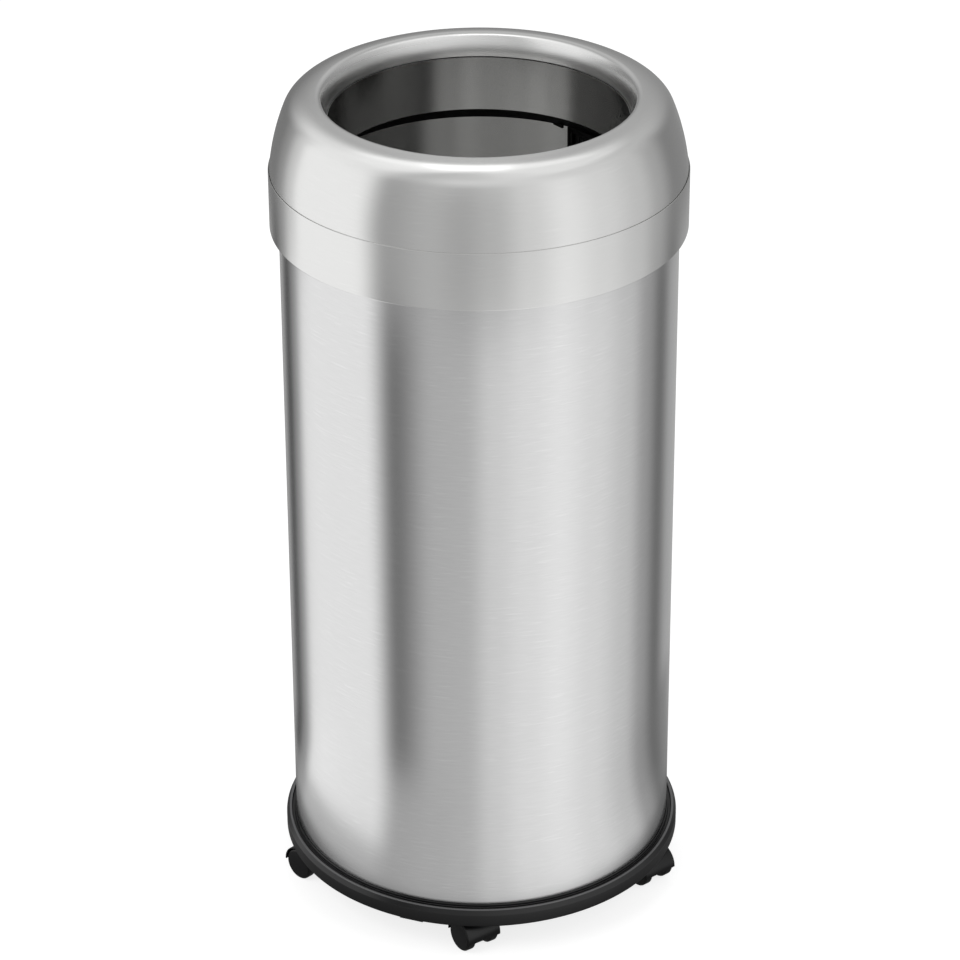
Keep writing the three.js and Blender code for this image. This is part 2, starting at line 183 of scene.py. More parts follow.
# The inside was left as it came off the belt, so it is rougher and smears light far up and down;
# its colours are painted darker, as painted shade inside the can and the mouth.
insideLook = {
    **steelLook, "tubeShadedColor": 0x8E8E8D, "collarShadedColor": 0x9B9B9A, "roughness": 0.22,
    "roughShare": 0.06, "anisotropic": 0.35, "toneShare": 0.07,
}
weldLook = {**insideLook, "color": 0xC4C4C2, "roughness": 0.34}


def brushedSteel(name, color, roughness, look, strength=1.0):
    material, tree, shader, place = newMaterial(name)
    along = addNode(tree, "ShaderNodeAttribute", attribute_name="alongSection").outputs["Fac"]
    axes = addNode(tree, "ShaderNodeSeparateXYZ", {"Vector": place}).outputs
    onSurface = addNode(tree, "ShaderNodeCombineXYZ", {"X": axes["X"], "Y": axes["Y"], "Z": along})
    lengthwise = 1 / (look["grainLength"] * mm)
    across = 1 / (look["grain"] * mm)
    stretched = addNode(tree, "ShaderNodeMapping", {
        "Vector": onSurface, "Scale": (lengthwise, lengthwise, across)})
    scratches = addNode(tree, "ShaderNodeTexNoise", {
        "Vector": stretched, "Scale": 1.0, "Detail": 3.0, "Roughness": 0.6})
    # a few longer scratches stand out from the rest
    strays = addNode(tree, "ShaderNodeMapping", {
        "Vector": onSurface, "Scale": (lengthwise * 0.8, lengthwise * 0.8, across * 0.7),
        "Location": (3.1, 7.7, 1.9)})
    strayNoise = addNode(tree, "ShaderNodeTexNoise", {
        "Vector": strays, "Scale": 1.0, "Detail": 1.0})
    strayMask = addNode(tree, "ShaderNodeValToRGB", {"Fac": strayNoise},
                        stops=[(0.62, 0.0), (0.74, 1.0)])
    # broad faint clouds from the polishing belt
    clouds = addNode(tree, "ShaderNodeTexNoise", {"Vector": place, "Scale": 9.0, "Detail": 2.0})
    dark, bright = [
        (*[min(1, c * (1 + sign * look["toneShare"] * strength)) for c in toLinear(color)[:3]], 1)
        for sign in (-1, 1)]
    tone = addNode(tree, "ShaderNodeMix", {0: scratches, 6: dark, 7: bright}, data_type="RGBA")
    strayTone = addNode(tree, "ShaderNodeMix", {0: strayMask, 6: tone, 7: bright},
                        data_type="RGBA")
    rough = addNode(tree, "ShaderNodeMapRange", {
        "Value": clouds, "To Min": roughness - look["roughShare"] / 2,
        "To Max": roughness + look["roughShare"] / 2})
    # the polishing belt doesn't reach into the mouth, so what looks at the axis is duller
    surface = addNode(tree, "ShaderNodeNewGeometry").outputs["Normal"]
    flat = addNode(tree, "ShaderNodeCombineXYZ", {"X": axes["X"], "Y": axes["Y"]})
    outwards = addNode(tree, "ShaderNodeVectorMath", {0: flat}, operation="NORMALIZE")
    facing = addNode(tree, "ShaderNodeVectorMath", {0: surface, 1: outwards},
                     operation="DOT_PRODUCT")
    dulled = addNode(tree, "ShaderNodeMapRange", {
        "Value": facing, "From Min": -0.8, "From Max": -0.99, "To Min": 0.0,
        "To Max": look["mouthRoughness"]}, interpolation_type="SMOOTHSTEP")
    total = addNode(tree, "ShaderNodeMath", {0: rough, 1: dulled}, operation="ADD")
    height = addNode(tree, "ShaderNodeMath", {0: scratches, 1: strayMask}, operation="ADD")
    bump = addNode(tree, "ShaderNodeBump", {
        "Strength": 0.35 * strength, "Distance": look["bumpDistance"] * mm, "Height": height})
    # the scratches run round the axis, so the tangent does too
    around = addNode(tree, "ShaderNodeVectorMath", {0: (0, 0, 1), 1: place},
                     operation="CROSS_PRODUCT")
    setSockets(tree, shader, {
        "Base Color": strayTone, "Roughness": total, "Normal": bump, "Tangent": around,
        "Metallic": 1.0, "Anisotropic": look["anisotropic"], "Anisotropic Rotation": 0.25})
    return material


# Moulded plastic: a dense black with a fine spark-eroded grain that breaks up its sheen.
plasticLook = {
    "color": 0x0C0C0D, "dust": 0x161617, "roughness": 0.29, "grain": 0.6, "bumpDistance": 0.02,
    "ior": 1.52,
    "paintedLipHighlight": 0x606061, "paintedHighlightDepth": 0.6,        # the base's lip is painted pale from its top down, a painted highlight where its edge catches the light
}
frameLook = {**plasticLook, "color": 0x060606, "dust": 0x0B0B0B, "roughness": 0.5, "ior": 1.3}
nylonLook = {**plasticLook, "color": 0x0D0D0E, "roughness": 0.34, "ior": 1.46}


def mouldedPlastic(name, look, paintedHighlightTop=None):
    material, tree, shader, place = newMaterial(name)
    grain = addNode(tree, "ShaderNodeTexNoise", {
        "Vector": place, "Scale": 1 / (look["grain"] * mm), "Detail": 2.0})
    patches = addNode(tree, "ShaderNodeTexNoise", {"Vector": place, "Scale": 14.0, "Detail": 3.0})
    spread = addNode(tree, "ShaderNodeValToRGB", {"Fac": patches},
                     stops=[(0.35, 0.0), (0.75, 0.35)])
    tone = addNode(tree, "ShaderNodeMix", {
        0: spread, 6: toLinear(look["color"]), 7: toLinear(look["dust"])}, data_type="RGBA")
    # a pale band painted just under the given height: the painted highlight along the base's lip
    if paintedHighlightTop:
        height = addNode(tree, "ShaderNodeSeparateXYZ", {"Vector": place}).outputs["Z"]
        low = paintedHighlightTop - look["paintedHighlightDepth"]
        over = addNode(tree, "ShaderNodeMapRange", {
            "Value": height, "From Min": low * mm, "From Max": (low + 0.5) * mm})
        under = addNode(tree, "ShaderNodeMapRange", {
            "Value": height, "From Min": paintedHighlightTop * mm, "From Max": (paintedHighlightTop + 0.1) * mm,
            "To Min": 1.0, "To Max": 0.0})
        share = addNode(tree, "ShaderNodeMath", {0: over, 1: under}, operation="MULTIPLY")
        tone = addNode(tree, "ShaderNodeMix", {0: share, 6: tone, 7: toLinear(look["paintedLipHighlight"])},
                       data_type="RGBA")
    rough = addNode(tree, "ShaderNodeMapRange", {
        "Value": patches, "To Min": look["roughness"] - 0.04, "To Max": look["roughness"] + 0.06})
    bump = addNode(tree, "ShaderNodeBump", {
        "Strength": 0.3, "Distance": look["bumpDistance"] * mm, "Height": grain})
    setSockets(tree, shader, {
        "Base Color": tone, "Roughness": rough, "Normal": bump, "IOR": look["ior"]})
    return material


# Bright zinc plate: a bluish silver with faint patches where the coat is thicker.
zincLook = {"thin": 0xB9BEC4, "thick": 0xD6D8D6, "perMetre": 180, "smooth": 0.22, "rough": 0.36}


def zincPlate(name, look):
    material, tree, shader, place = newMaterial(name)
    patches = addNode(tree, "ShaderNodeTexNoise", {
        "Vector": place, "Scale": look["perMetre"], "Detail": 3.0})
    tone = addNode(tree, "ShaderNodeMix", {
        0: patches, 6: toLinear(look["thin"]), 7: toLinear(look["thick"])}, data_type="RGBA")
    rough = addNode(tree, "ShaderNodeMapRange", {
        "Value": patches, "To Min": look["smooth"], "To Max": look["rough"]})
    setSockets(tree, shader, {"Base Color": tone, "Roughness": rough, "Metallic": 1.0})
    return material


# Activated carbon felt: matt black needled fibres, with random paler flecks painted on as painted
# glints of fibre ends catching the light.
feltLook = {"perMetre": 1100, "dark": 0.008, "pale": 0.05, "bumpDistance": 0.4}   # linear greys


def carbonFelt(name, look):
    material, tree, shader, place = newMaterial(name)
    fibres = addNode(tree, "ShaderNodeTexNoise", {
        "Vector": place, "Scale": look["perMetre"], "Detail": 5.0, "Distortion": 1.5})
    # the pale end of the ramp paints the glints on the fibres
    tone = addNode(tree, "ShaderNodeValToRGB", {"Fac": fibres},
                   stops=[(0.4, look["dark"]), (0.72, look["pale"])])
    bump = addNode(tree, "ShaderNodeBump", {
        "Strength": 0.8, "Distance": look["bumpDistance"] * mm, "Height": fibres})
    setSockets(tree, shader, {
        "Base Color": tone, "Normal": bump, "Roughness": 0.95, "Sheen Weight": 0.3})
    return material


bodySteel = brushedSteel("brushedStainlessGirthwise", steelLook["bodyColor"],
                         steelLook["bodyRoughness"], steelLook)
lidSteel = brushedSteel("satinStainlessSpun", steelLook["lidColor"],
                        steelLook["lidRoughness"], {**steelLook, "mouthRoughness": 0.14},
                        strength=0.5)
# the collar and the tube's inside take darker steel: painted shade inside the mouth and the can
collarSteel = brushedSteel("brushedStainlessCollar", insideLook["collarShadedColor"],
                           insideLook["roughness"], insideLook)
insideSteel = brushedSteel("brushedStainlessInside", insideLook["tubeShadedColor"],
                           insideLook["roughness"], insideLook)
# The planished weld: the same steel, ground across by hand, so duller and a shade darker.
weldSteel = brushedSteel("planishedWeldStainless", weldLook["color"], weldLook["roughness"],
                         weldLook)
framePlastic = mouldedPlastic("mouldedAbsBlackFrame", frameLook)
casterNylon = mouldedPlastic("mouldedNylonBlack", nylonLook)
zinc = zincPlate("zincPlatedSteelBright", zincLook)
felt = carbonFelt("activatedCarbonFelt", feltLook)
print("finishes made")


def roundedSection(corners, steps=4, support=0.4, straight=1.54, longest=0.48):
    # a closed outline from its corners, each (radius from the axis, height, rounding). A corner
    # whose half angle is over straight radians stays, and an arc takes up to that share of a side
    outline = []
    for i, (r, z, rounding) in enumerate(corners):
        here = Vector((r, z))
        before = Vector(corners[i - 1][:2]) - here
        after = Vector(corners[(i + 1) % len(corners)][:2]) - here
        half = before.angle(after) / 2
        if rounding <= 0 or half > straight:
            outline.append(here)
            continue
        reach = min(rounding / math.tan(half), before.length * longest, after.length * longest)
        radius = reach * math.tan(half)
        toCentre = (before.normalized() + after.normalized()).normalized()
        centre = here + toCentre * radius / math.sin(half)
        start = here + before.normalized() * reach - centre
        end = here + after.normalized() * reach - centre
        first = math.atan2(start.y, start.x)
        sweep = (math.atan2(end.y, end.x) - first + math.pi) % (2 * math.pi) - math.pi
        # a point just before and after the arc keeps a long wall's shading straight up to it
        if before.length > 4 * (reach + support):
            outline.append(here + before.normalized() * (reach + support))
        for k in range(steps + 1):
            turn = first + sweep * k / steps
            outline.append(centre + radius * Vector((math.cos(turn), math.sin(turn))))
        if after.length > 4 * (reach + support):
            outline.append(here + after.normalized() * (reach + support))
    return [(p.x, p.y) for p in outline]


def newTree(name, inputs):
    # a geometry tree with its named inputs, and the sockets that give them
    tree = bpy.data.node_groups.new(name, "GeometryNodeTree")
    for label, kind in inputs.items():
        tree.interface.new_socket(label, in_out="INPUT", socket_type=f"NodeSocket{kind}")
    return tree, addNode(tree, "NodeGroupInput").outputs


def endTree(tree, shape, finish):
    # every tree ends with real faces that have their finish
    tree.interface.new_socket("Result", in_out="OUTPUT", socket_type="NodeSocketGeometry")
    real = addNode(tree, "GeometryNodeRealizeInstances", {"Geometry": shape})
    finished = addNode(tree, "GeometryNodeSetMaterial", {"Geometry": real, "Material": finish})
    addNode(tree, "NodeGroupOutput", {"Result": finished})
    return tree


def makeTurnTree():
    # sweeps a section round the axis and keeps the length along it for the brushed finish
    tree, given = newTree("turnedSection", {
        "Section": "Geometry", "Facets": "Int", "Path Radius": "Float", "Finish": "Material"})
    outline = addNode(tree, "GeometryNodeMeshToCurve", {"Mesh": given["Section"]})
    along = addNode(tree, "GeometryNodeSplineParameter").outputs["Length"]
    measured = addNode(tree, "GeometryNodeStoreNamedAttribute", {
        "Geometry": outline, "Name": "alongSection", "Value": along},
        data_type="FLOAT", domain="POINT")
    path = addNode(tree, "GeometryNodeCurvePrimitiveCircle", {
        "Resolution": given["Facets"], "Radius": given["Path Radius"]})
    upright = addNode(tree, "GeometryNodeSetCurveNormal", {"Curve": path}, mode="Z_UP")
    swept = addNode(tree, "GeometryNodeCurveToMesh", {
        "Curve": upright, "Profile Curve": measured})
    return endTree(tree, swept, given["Finish"])


def makeRingTree():
    # copies one shape round the can's axis
    tree, given = newTree("ringOfCopies", {
        "Shape": "Geometry", "Count": "Int", "First Turn": "Float", "Finish": "Material"})
    places = addNode(tree, "GeometryNodeMeshLine", {
        "Count": given["Count"], "Offset": (0, 0, 0)})
    number = addNode(tree, "GeometryNodeInputIndex")
    share = addNode(tree, "ShaderNodeMath", {0: number, 1: given["Count"]}, operation="DIVIDE")
    turn = addNode(tree, "ShaderNodeMath", {
        0: share, 1: 2 * math.pi, 2: given["First Turn"]}, operation="MULTIPLY_ADD")
    upright = addNode(tree, "ShaderNodeCombineXYZ", {"Z": turn})
    copies = addNode(tree, "GeometryNodeInstanceOnPoints", {
        "Points": places, "Instance": given["Shape"], "Rotation": upright})
    return endTree(tree, copies, given["Finish"])


def makeRowTree():
    # copies one shape along a straight row
    tree, given = newTree("rowOfCopies", {
        "Shape": "Geometry", "Count": "Int", "Step": "Vector", "Finish": "Material"})
    places = addNode(tree, "GeometryNodeMeshLine", {
        "Count": given["Count"], "Offset": given["Step"]})
    copies = addNode(tree, "GeometryNodeInstanceOnPoints", {
        "Points": places, "Instance": given["Shape"]})
    return endTree(tree, copies, given["Finish"])


turnTree, ringOfCopies, rowOfCopies = makeTurnTree(), makeRingTree(), makeRowTree()


def turnedMesh(name, section, material, facets=192):
    pathRadius = max(r for r, z in section) / 2 * mm
    points = [(r * mm - pathRadius, -z * mm, 0) for r, z in section]
    edges = [(i, (i + 1) % len(points)) for i in range(len(points))]
    swept = modified(meshFrom(name, points, [], edges), "NODES", {"node_group": turnTree}, {
        "Facets": facets, "Path Radius": pathRadius, "Finish": material})
    return shade(faceOutwards(swept, weld=True))


def copiedMesh(mesh, tree, values):
    return modified(mesh, "NODES", {"node_group": tree}, values)


def bevelled(mesh, width, segments=2, angle=30):
    # rounds a mesh's corners as a mould does
    return shade(modified(mesh, "BEVEL", {
        "width": width * mm, "segments": segments, "limit_method": "ANGLE",
        "angle_limit": math.radians(angle), "use_clamp_overlap": True}))


def boxMesh(low, high, rounding=0.4, segments=2):
    corners = [(x * mm, y * mm, z * mm) for z in (low[2], high[2])
               for y in (low[1], high[1]) for x in (low[0], high[0])]
    faces = [(0, 2, 3, 1), (4, 5, 7, 6), (0, 1, 5, 4), (2, 6, 7, 3), (0, 4, 6, 2), (1, 3, 7, 5)]
    return bevelled(meshFrom("box", corners, faces), rounding, segments)


def plateMesh(outline, width, rounding, segments=2):
    # an outline in X and Z, as wide as width along Y and centred on the XZ plane
    half = width / 2 * mm
    count = len(outline)
    points = [(x * mm, side * half, z * mm) for side in (-1, 1) for x, z in outline]
    faces = [tuple(range(count)), tuple(range(2 * count - 1, count - 1, -1))]
    for i in range(count):
        j = (i + 1) % count
        faces.append((j, i, count + i, count + j))
    return bevelled(faceOutwards(meshFrom("plate", points, faces)), rounding, segments, 40)


def placed(mesh, matrix):
    mesh.transform(matrix)
    mesh.update()
    return mesh


def shifted(x, y, z):
    return Matrix.Translation((x * mm, y * mm, z * mm))


def turned(degrees, axis="Z"):
    return Matrix.Rotation(math.radians(degrees), 4, axis)


def addPiece(name, meshes, finish, body, slot, *nodes, place=shifted(0, 0, 0)):
    # what every piece gets: the body it rides on, and the nodes that it stands for are hidden; its
    # slot is not used
    meshes = [placed(mesh, place) for mesh in meshes]
    piece = joined(name, meshes, finish) if len(meshes) > 1 else newPiece(name, meshes[0], finish)
    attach(piece, body)
    if nodes:
        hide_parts(*nodes)
    return piece


def insideFaces(piece, material):
    # the faces that look at the axis take the second material
    piece.data.materials.append(material)
    for face in piece.data.polygons:
        outwards = Vector((face.center.x, face.center.y, 0))
        if face.normal.dot(outwards.normalized()) < -0.5:
            face.material_index = 1


# Sheet steel: the dome, the band under it, the mouth's collar and the tube. Where a part of the
# frame gives a size, it is read from its box.
sheet = 0.8
tubeLow, tubeHigh = (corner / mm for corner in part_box("body_tube"))
bandLow, bandHigh = (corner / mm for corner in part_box("lid_band"))
collarLow, collarHigh = (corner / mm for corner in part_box("mouth_collar"))
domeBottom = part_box("lid_dome")[0].z / mm
lidRadius, seamHeight, bandBottom = bandHigh.x, bandHigh.z, bandLow.z

domeSize = {
    "gap": 0.3, "steps": 12,
    # arcs from the seam to the mouth: radius, lean at its start and lean at its end, in degrees
    "arcs": [(201, 5.6, 21.7), (22.3, 21.7, 60), (40.2, 60, 90), (6.5, 90, 145),
             (27.1, 145, 180)],
    "seamDrop": 2.9, "seam": 0.7,     # mm under the collar's own top, and how far the seam opens
}


def domeLine(inset, size):
    arcs = size["arcs"]
    start = math.radians(arcs[0][1])
    endR, endZ = lidRadius - sheet - size["gap"], seamHeight
    line = [(endR - inset * math.cos(start), endZ - inset * math.sin(start))]
    for radius, leanFrom, leanTo in arcs:
        centreR = endR - radius * math.cos(math.radians(leanFrom))
        centreZ = endZ - radius * math.sin(math.radians(leanFrom))
        for i in range(1, size["steps"] + 1):
            lean = math.radians(leanFrom + (leanTo - leanFrom) * i / size["steps"])
            line.append((centreR + (radius - inset) * math.cos(lean),
                         centreZ + (radius - inset) * math.sin(lean)))
        endR = centreR + radius * math.cos(math.radians(leanTo))
        endZ = centreZ + radius * math.sin(math.radians(leanTo))
    return line


outerLine = domeLine(0, domeSize)
innerLine = domeLine(sheet, domeSize)
mouthRadius, rollBottom = outerLine[-1]
collarTop = collarHigh.z - domeSize["seamDrop"]
rollEnd = min(rollBottom - 0.5, collarTop + domeSize["seam"])
domeFoot = outerLine[0][0]
domeSection = [
    (domeFoot, domeBottom), *outerLine, (mouthRadius, rollEnd),
    (mouthRadius + sheet, rollEnd), *reversed(innerLine), (domeFoot - sheet, domeBottom),
]
addPiece("lidDomeSpun", [turnedMesh("lidDomeSpun", domeSection, lidSteel)], lidSteel,
         "lid", "brushed_steel", "lid_dome")

bandSize = {"hem": 1.3, "edge": 0.35, "fold": 0.75}
bandInner = lidRadius - sheet
hemRadius = bandInner - bandSize["hem"]
bandSection = roundedSection([
    (hemRadius, bandBottom, 0.3), (lidRadius, bandBottom, bandSize["fold"]),
    (lidRadius, seamHeight, bandSize["edge"]), (bandInner, seamHeight, bandSize["edge"]),
    (bandInner, bandBottom + sheet, 0.2), (hemRadius, bandBottom + sheet, 0.3),
])
addPiece("lidBandRolled", [turnedMesh("lidBandRolled", bandSection, lidSteel)], lidSteel,
         "lid", "brushed_steel", "lid_band")

collarOuter = collarHigh.x
collarInner = collarOuter - sheet
collarSection = roundedSection([
    (collarInner, collarLow.z, 0.3), (collarOuter, collarLow.z, 0.3),
    (collarOuter, collarTop, 0.1), (collarInner, collarTop, 0.1),
])
addPiece("mouthCollarRolled", [turnedMesh("mouthCollarRolled", collarSection, collarSteel)],
         collarSteel, "lid", "inner_steel", "mouth_collar")

tubeSize = {"hemWidth": 2.6, "hemHeight": 3.4, "foot": 0.3, "fold": 0.75, "inFold": 0.2}
tubeRadius = tubeHigh.x
tubeInner = tubeRadius - sheet
hemInner = tubeInner - tubeSize["hemWidth"]
hemBottom = tubeHigh.z - tubeSize["hemHeight"]
tubeSection = roundedSection([
    (tubeInner, tubeLow.z, tubeSize["foot"]), (tubeRadius, tubeLow.z, tubeSize["foot"]),
    (tubeRadius, tubeHigh.z, tubeSize["fold"]), (hemInner, tubeHigh.z, tubeSize["fold"]),
    (hemInner, hemBottom, tubeSize["foot"]), (hemInner + sheet, hemBottom, tubeSize["foot"]),
    (hemInner + sheet, tubeHigh.z - sheet, tubeSize["inFold"]),
    (tubeInner, tubeHigh.z - sheet, tubeSize["inFold"]),
])
bodyTube = addPiece("bodyTubeBrushed", [turnedMesh("bodyTubeBrushed", tubeSection, bodySteel)],
                    bodySteel, "can", "brushed_steel", "body_tube")
# the faces looking at the axis take the darker steel, painted shade inside the can
insideFaces(bodyTube, insideSteel)

# The tube's upright weld, planished nearly flat, runs down the back as a narrow duller line.
weldSize = {
    "width": 2.4, "rise": 0.1, "sink": 0.05, "ripple": 0.03, "pitch": 7, "azimuth": 180,
    "footGap": 1, "topGap": 1.5, "columns": 7, "rowsPerRipple": 4, "backShare": 0.998,
}


def makeWeld(size):
    foot, top = tubeLow.z + size["footGap"], tubeHigh.z - size["topGap"]
    rows = int((top - tubeLow.z) / size["pitch"] * size["rowsPerRipple"])
    columns, sink = size["columns"], size["sink"]
    points, faces = [], []
    for i in range(rows + 1):
        z = foot + (top - foot) * i / rows
        swell = size["ripple"] * math.sin(2 * math.pi * z / size["pitch"])
        for k in range(columns):
            across = k / (columns - 1) * 2 - 1
            turn = math.radians(size["azimuth"]) + across * size["width"] / 2 / tubeRadius
            rise = (size["rise"] + sink + swell) * math.sqrt(1 - across ** 2)
            r = tubeRadius - sink + rise
            points.append((r * math.sin(turn) * mm, -r * math.cos(turn) * mm, z * mm))
    for i in range(rows):
        for k in range(columns - 1):
            here = i * columns + k
            faces.append((here, here + 1, here + columns + 1, here + columns))
    # the back lies a little deeper, behind the weld's own edge
    edge = [i * columns for i in range(rows + 1)]
    edge += [i * columns + columns - 1 for i in range(rows, -1, -1)]
    back, last = len(points), len(edge) - 1
    points += [(points[i][0] * size["backShare"], points[i][1] * size["backShare"], points[i][2])
               for i in edge]
    for i in range(rows):
        faces.append((edge[i], edge[i + 1], back + i + 1, back + i))
        faces.append((edge[last - i], back + last - i, back + last - 1 - i, edge[last - 1 - i]))
        faces.append((back + i, back + i + 1, back + last - 1 - i, back + last - i))
    faces.append((*range(columns), back + last, back))
    faces.append((*range(rows * columns, (rows + 1) * columns), back + rows + 1, back + rows))
    return shade(faceOutwards(meshFrom("bodyWeld", points, faces), weld=True), 60)


addPiece("bodyWeld", [makeWeld(weldSize)], weldSteel, "can", "brushed_steel")
print("steel turned")

# Base moulding: rim, groove, collar and plug are one turned shell, with ribs and bosses under it.
casterCount = 5
casterStart = -1.8                                # degrees from the front towards the right
caster = {
    "ring": 172.7, "trail": 3, "wheelRadius": 15.9, "wheelWidth": 10.8, "web": 13.8, "gap": 0.6,
    "wheelBore": 2.4, "boreDepth": 7.9, "axle": 2, "axleShort": 3.2,
    "hoodGap": 0.8, "hoodWall": 1.3, "skirtAngle": -3, "footAngle": 215, "browAngle": 186,
    "webDrop": 10, "stemRadius": 4, "stemLength": 29.2, "stemSeat": 14, "stemGap": 0.2,
    "flangeRadius": 7.2, "flange": 1.6, "sleeveRadius": 7, "sleeveFlange": 1.2,
    "sleeveWall": 1.3, "sleeveGap": 0.6,
}
hoodRadius = caster["wheelRadius"] + caster["hoodGap"] + caster["hoodWall"]
hoodTop = caster["wheelRadius"] + hoodRadius
stemTop = hoodTop + caster["stemLength"]
sleeveBottom = hoodTop + caster["flange"] + caster["sleeveGap"]
base = {
    "over": 9.8, "casterGap": 1.2,                # beyond the tube, and over the hoods
    "face": 12.7, "chamferRise": 4.3, "chamferRun": 3, "wall": 2.6, "lip": 2.2, "groove": 3.1,
    "grooveStep": 1, "collar": 1.3, "collarRise": 2.5, "collarGap": 0.3, "sink": 1.2,
    "plugGap": 0.3, "moulding": 2.5, "ribDepth": 14, "ribThickness": 2.2, "ribTuck": 1,
    "ribRounding": 0.6, "hubRing": 34, "midRing": 112, "boss": 8.8, "sleeveBore": 5.8,
    "finHalf": 2.2, "finEnd": 9,
    "lugFrom": -24, "lugTo": -17, "lugDrop": 1.4, "lugWidth": 6, "lugInset": 0.65, "lugTop": 1.2,
}
tuck = base["ribTuck"]
baseRadius = tubeRadius + base["over"]
baseBottom = hoodTop + base["casterGap"]
rimTop = baseBottom + base["face"] + base["chamferRise"]
slotFloor = rimTop - base["groove"] - base["sink"]
grooveFloor = rimTop - base["groove"] + base["grooveStep"]
floorUnder = stemTop + tuck + base["moulding"]
floorTop = floorUnder + base["moulding"]
plugRadius = tubeInner - base["plugGap"]
plugInner = plugRadius - base["moulding"]
rimInner = baseRadius - base["wall"]
rimUnder = slotFloor - base["moulding"]
lipRadius = baseRadius - base["chamferRun"]
lipInner = lipRadius - base["lip"]
slotOuter = tubeRadius + base["collarGap"]
collarEdge = slotOuter + base["collar"]
collarRim = rimTop + base["collarRise"]
# the base's black gets the painted highlight along its lip, just under the rim's top
basePlastic = mouldedPlastic("mouldedPolypropyleneBlack", plasticLook, rimTop)
shellSection = roundedSection([
    (0, floorUnder, 0), (plugInner, floorUnder, 1.5), (plugInner, rimUnder, 1.5),
    (rimInner, rimUnder, 1.5), (rimInner, baseBottom, 0.7), (baseRadius, baseBottom, 0.9),
    (baseRadius, rimTop - base["chamferRise"], 1.1), (lipRadius, rimTop, 0.9),
    (lipInner, rimTop, 0.6), (lipInner, grooveFloor, 0.8), (collarEdge, grooveFloor, 0.8),
    (collarEdge, collarRim, 0.5), (slotOuter, collarRim, 0.4), (slotOuter, slotFloor, 0),
    (plugRadius, slotFloor, 0), (plugRadius, floorTop, 1.6), (0, floorTop, 0),
])
baseMeshes = [turnedMesh("baseShell", shellSection, basePlastic)]
ribBottom = floorUnder - base["ribDepth"]
ribTop = floorUnder + tuck
for radius in (base["hubRing"], base["midRing"]):
    inner = radius - base["ribThickness"]
    ringSection = roundedSection([
        (inner, ribBottom, base["ribRounding"]), (radius, ribBottom, base["ribRounding"]),
        (radius, ribTop, 0), (inner, ribTop, 0)])
    baseMeshes.append(turnedMesh("baseRing", ringSection, basePlastic, 96))
ribHalf, ribEnd = base["ribThickness"] / 2, plugInner + tuck
rib = boxMesh((-ribHalf, -ribEnd, ribBottom), (ribHalf, -base["hubRing"], ribTop),
              base["ribRounding"])
finFront = caster["ring"] - base["boss"] - base["finEnd"]
fin = boxMesh((-base["finHalf"], -ribEnd, slotFloor), (base["finHalf"], -finFront, ribTop), 0.7)
bossTop = stemTop + tuck
bossBottom = sleeveBottom + caster["sleeveFlange"] + 0.3
bossSection = roundedSection([
    (0, bossTop, 0), (base["sleeveBore"], bossTop, 0), (base["sleeveBore"], bossBottom, 0.5),
    (base["boss"], bossBottom, 0.8), (base["boss"], ribTop, 0), (0, ribTop, 0)])
boss = placed(turnedMesh("baseBoss", bossSection, basePlastic, 48), shifted(0, -caster["ring"], 0))
for shape, count in ((rib, casterCount * 3), (fin, casterCount), (boss, casterCount)):
    baseMeshes.append(copiedMesh(shape, ringOfCopies, {
        "Count": count, "First Turn": math.radians(casterStart), "Finish": basePlastic}))
lugRadius = baseRadius - base["lugInset"]
lugHalf = lugRadius * math.radians(base["lugTo"] - base["lugFrom"]) / 2
lug = boxMesh((-lugHalf, -lugRadius + base["lugInset"], baseBottom - base["lugDrop"]),
              (lugHalf, -lugRadius + base["lugWidth"], slotFloor - base["lugTop"]), 0.5)
baseMeshes.append(placed(lug, turned((base["lugFrom"] + base["lugTo"]) / 2)))
addPiece("baseMoulding", baseMeshes, basePlastic, "can", "black_plastic", "base_moulding")
print("base moulded")

# Lid frame: holds the collar, stands in the tube and carries the band. Ribs centre it.
frameSize = {
    "wall": 2, "sleeve": 9, "flareDrop": 15.1, "flareRun": 18.5, "fit": 0.3, "tubeGap": 0.5,
    "ribs": 15, "ribThickness": 2, "tabWidth": 13, "tabDrop": 2.4, "tabThickness": 2.5,
}
wall, fit = frameSize["wall"], frameSize["fit"]
flareTop = collarLow.z - fit
flareBottom = flareTop - frameSize["flareDrop"]
flareRadius = collarInner + frameSize["flareRun"]
sleeveTop = flareTop + frameSize["sleeve"]
spigotRadius = hemInner - frameSize["tubeGap"]
spigotInner = spigotRadius - wall
seatBottom = tubeHigh.z + fit
skirtOuter = bandInner - fit
skirtBottom = bandBottom + sheet + fit
sleeveInner = collarOuter + fit
frameSection = roundedSection([
    (flareRadius, flareBottom, 0.7), (spigotRadius, flareBottom, 0.7),
    (spigotRadius, seatBottom, 0), (skirtOuter - wall, seatBottom, 0),
    (skirtOuter - wall, skirtBottom, 0.5), (skirtOuter, skirtBottom, 0.5),
    (skirtOuter, seatBottom + wall, 0.8), (spigotInner, seatBottom + wall, 0.8),
    (spigotInner, flareBottom + wall, 0.8), (flareRadius + wall, flareBottom + wall, 0.8),
    (sleeveInner + wall, flareTop, 0.8), (sleeveInner + wall, sleeveTop, 0.4),
    (sleeveInner, sleeveTop, 0.4), (sleeveInner, flareTop, 0), (collarInner, flareTop, 0.4),
])
frameMeshes = [turnedMesh("frameRing", frameSection, framePlastic)]
ribHalf = frameSize["ribThickness"] / 2
frameRib = boxMesh((tubeRadius + 0.5, -ribHalf, skirtBottom),
                   (skirtOuter - 1, ribHalf, seatBottom + 1))
frameMeshes.append(copiedMesh(frameRib, ringOfCopies, {
    "Count": frameSize["ribs"], "First Turn": 0.0, "Finish": framePlastic}))
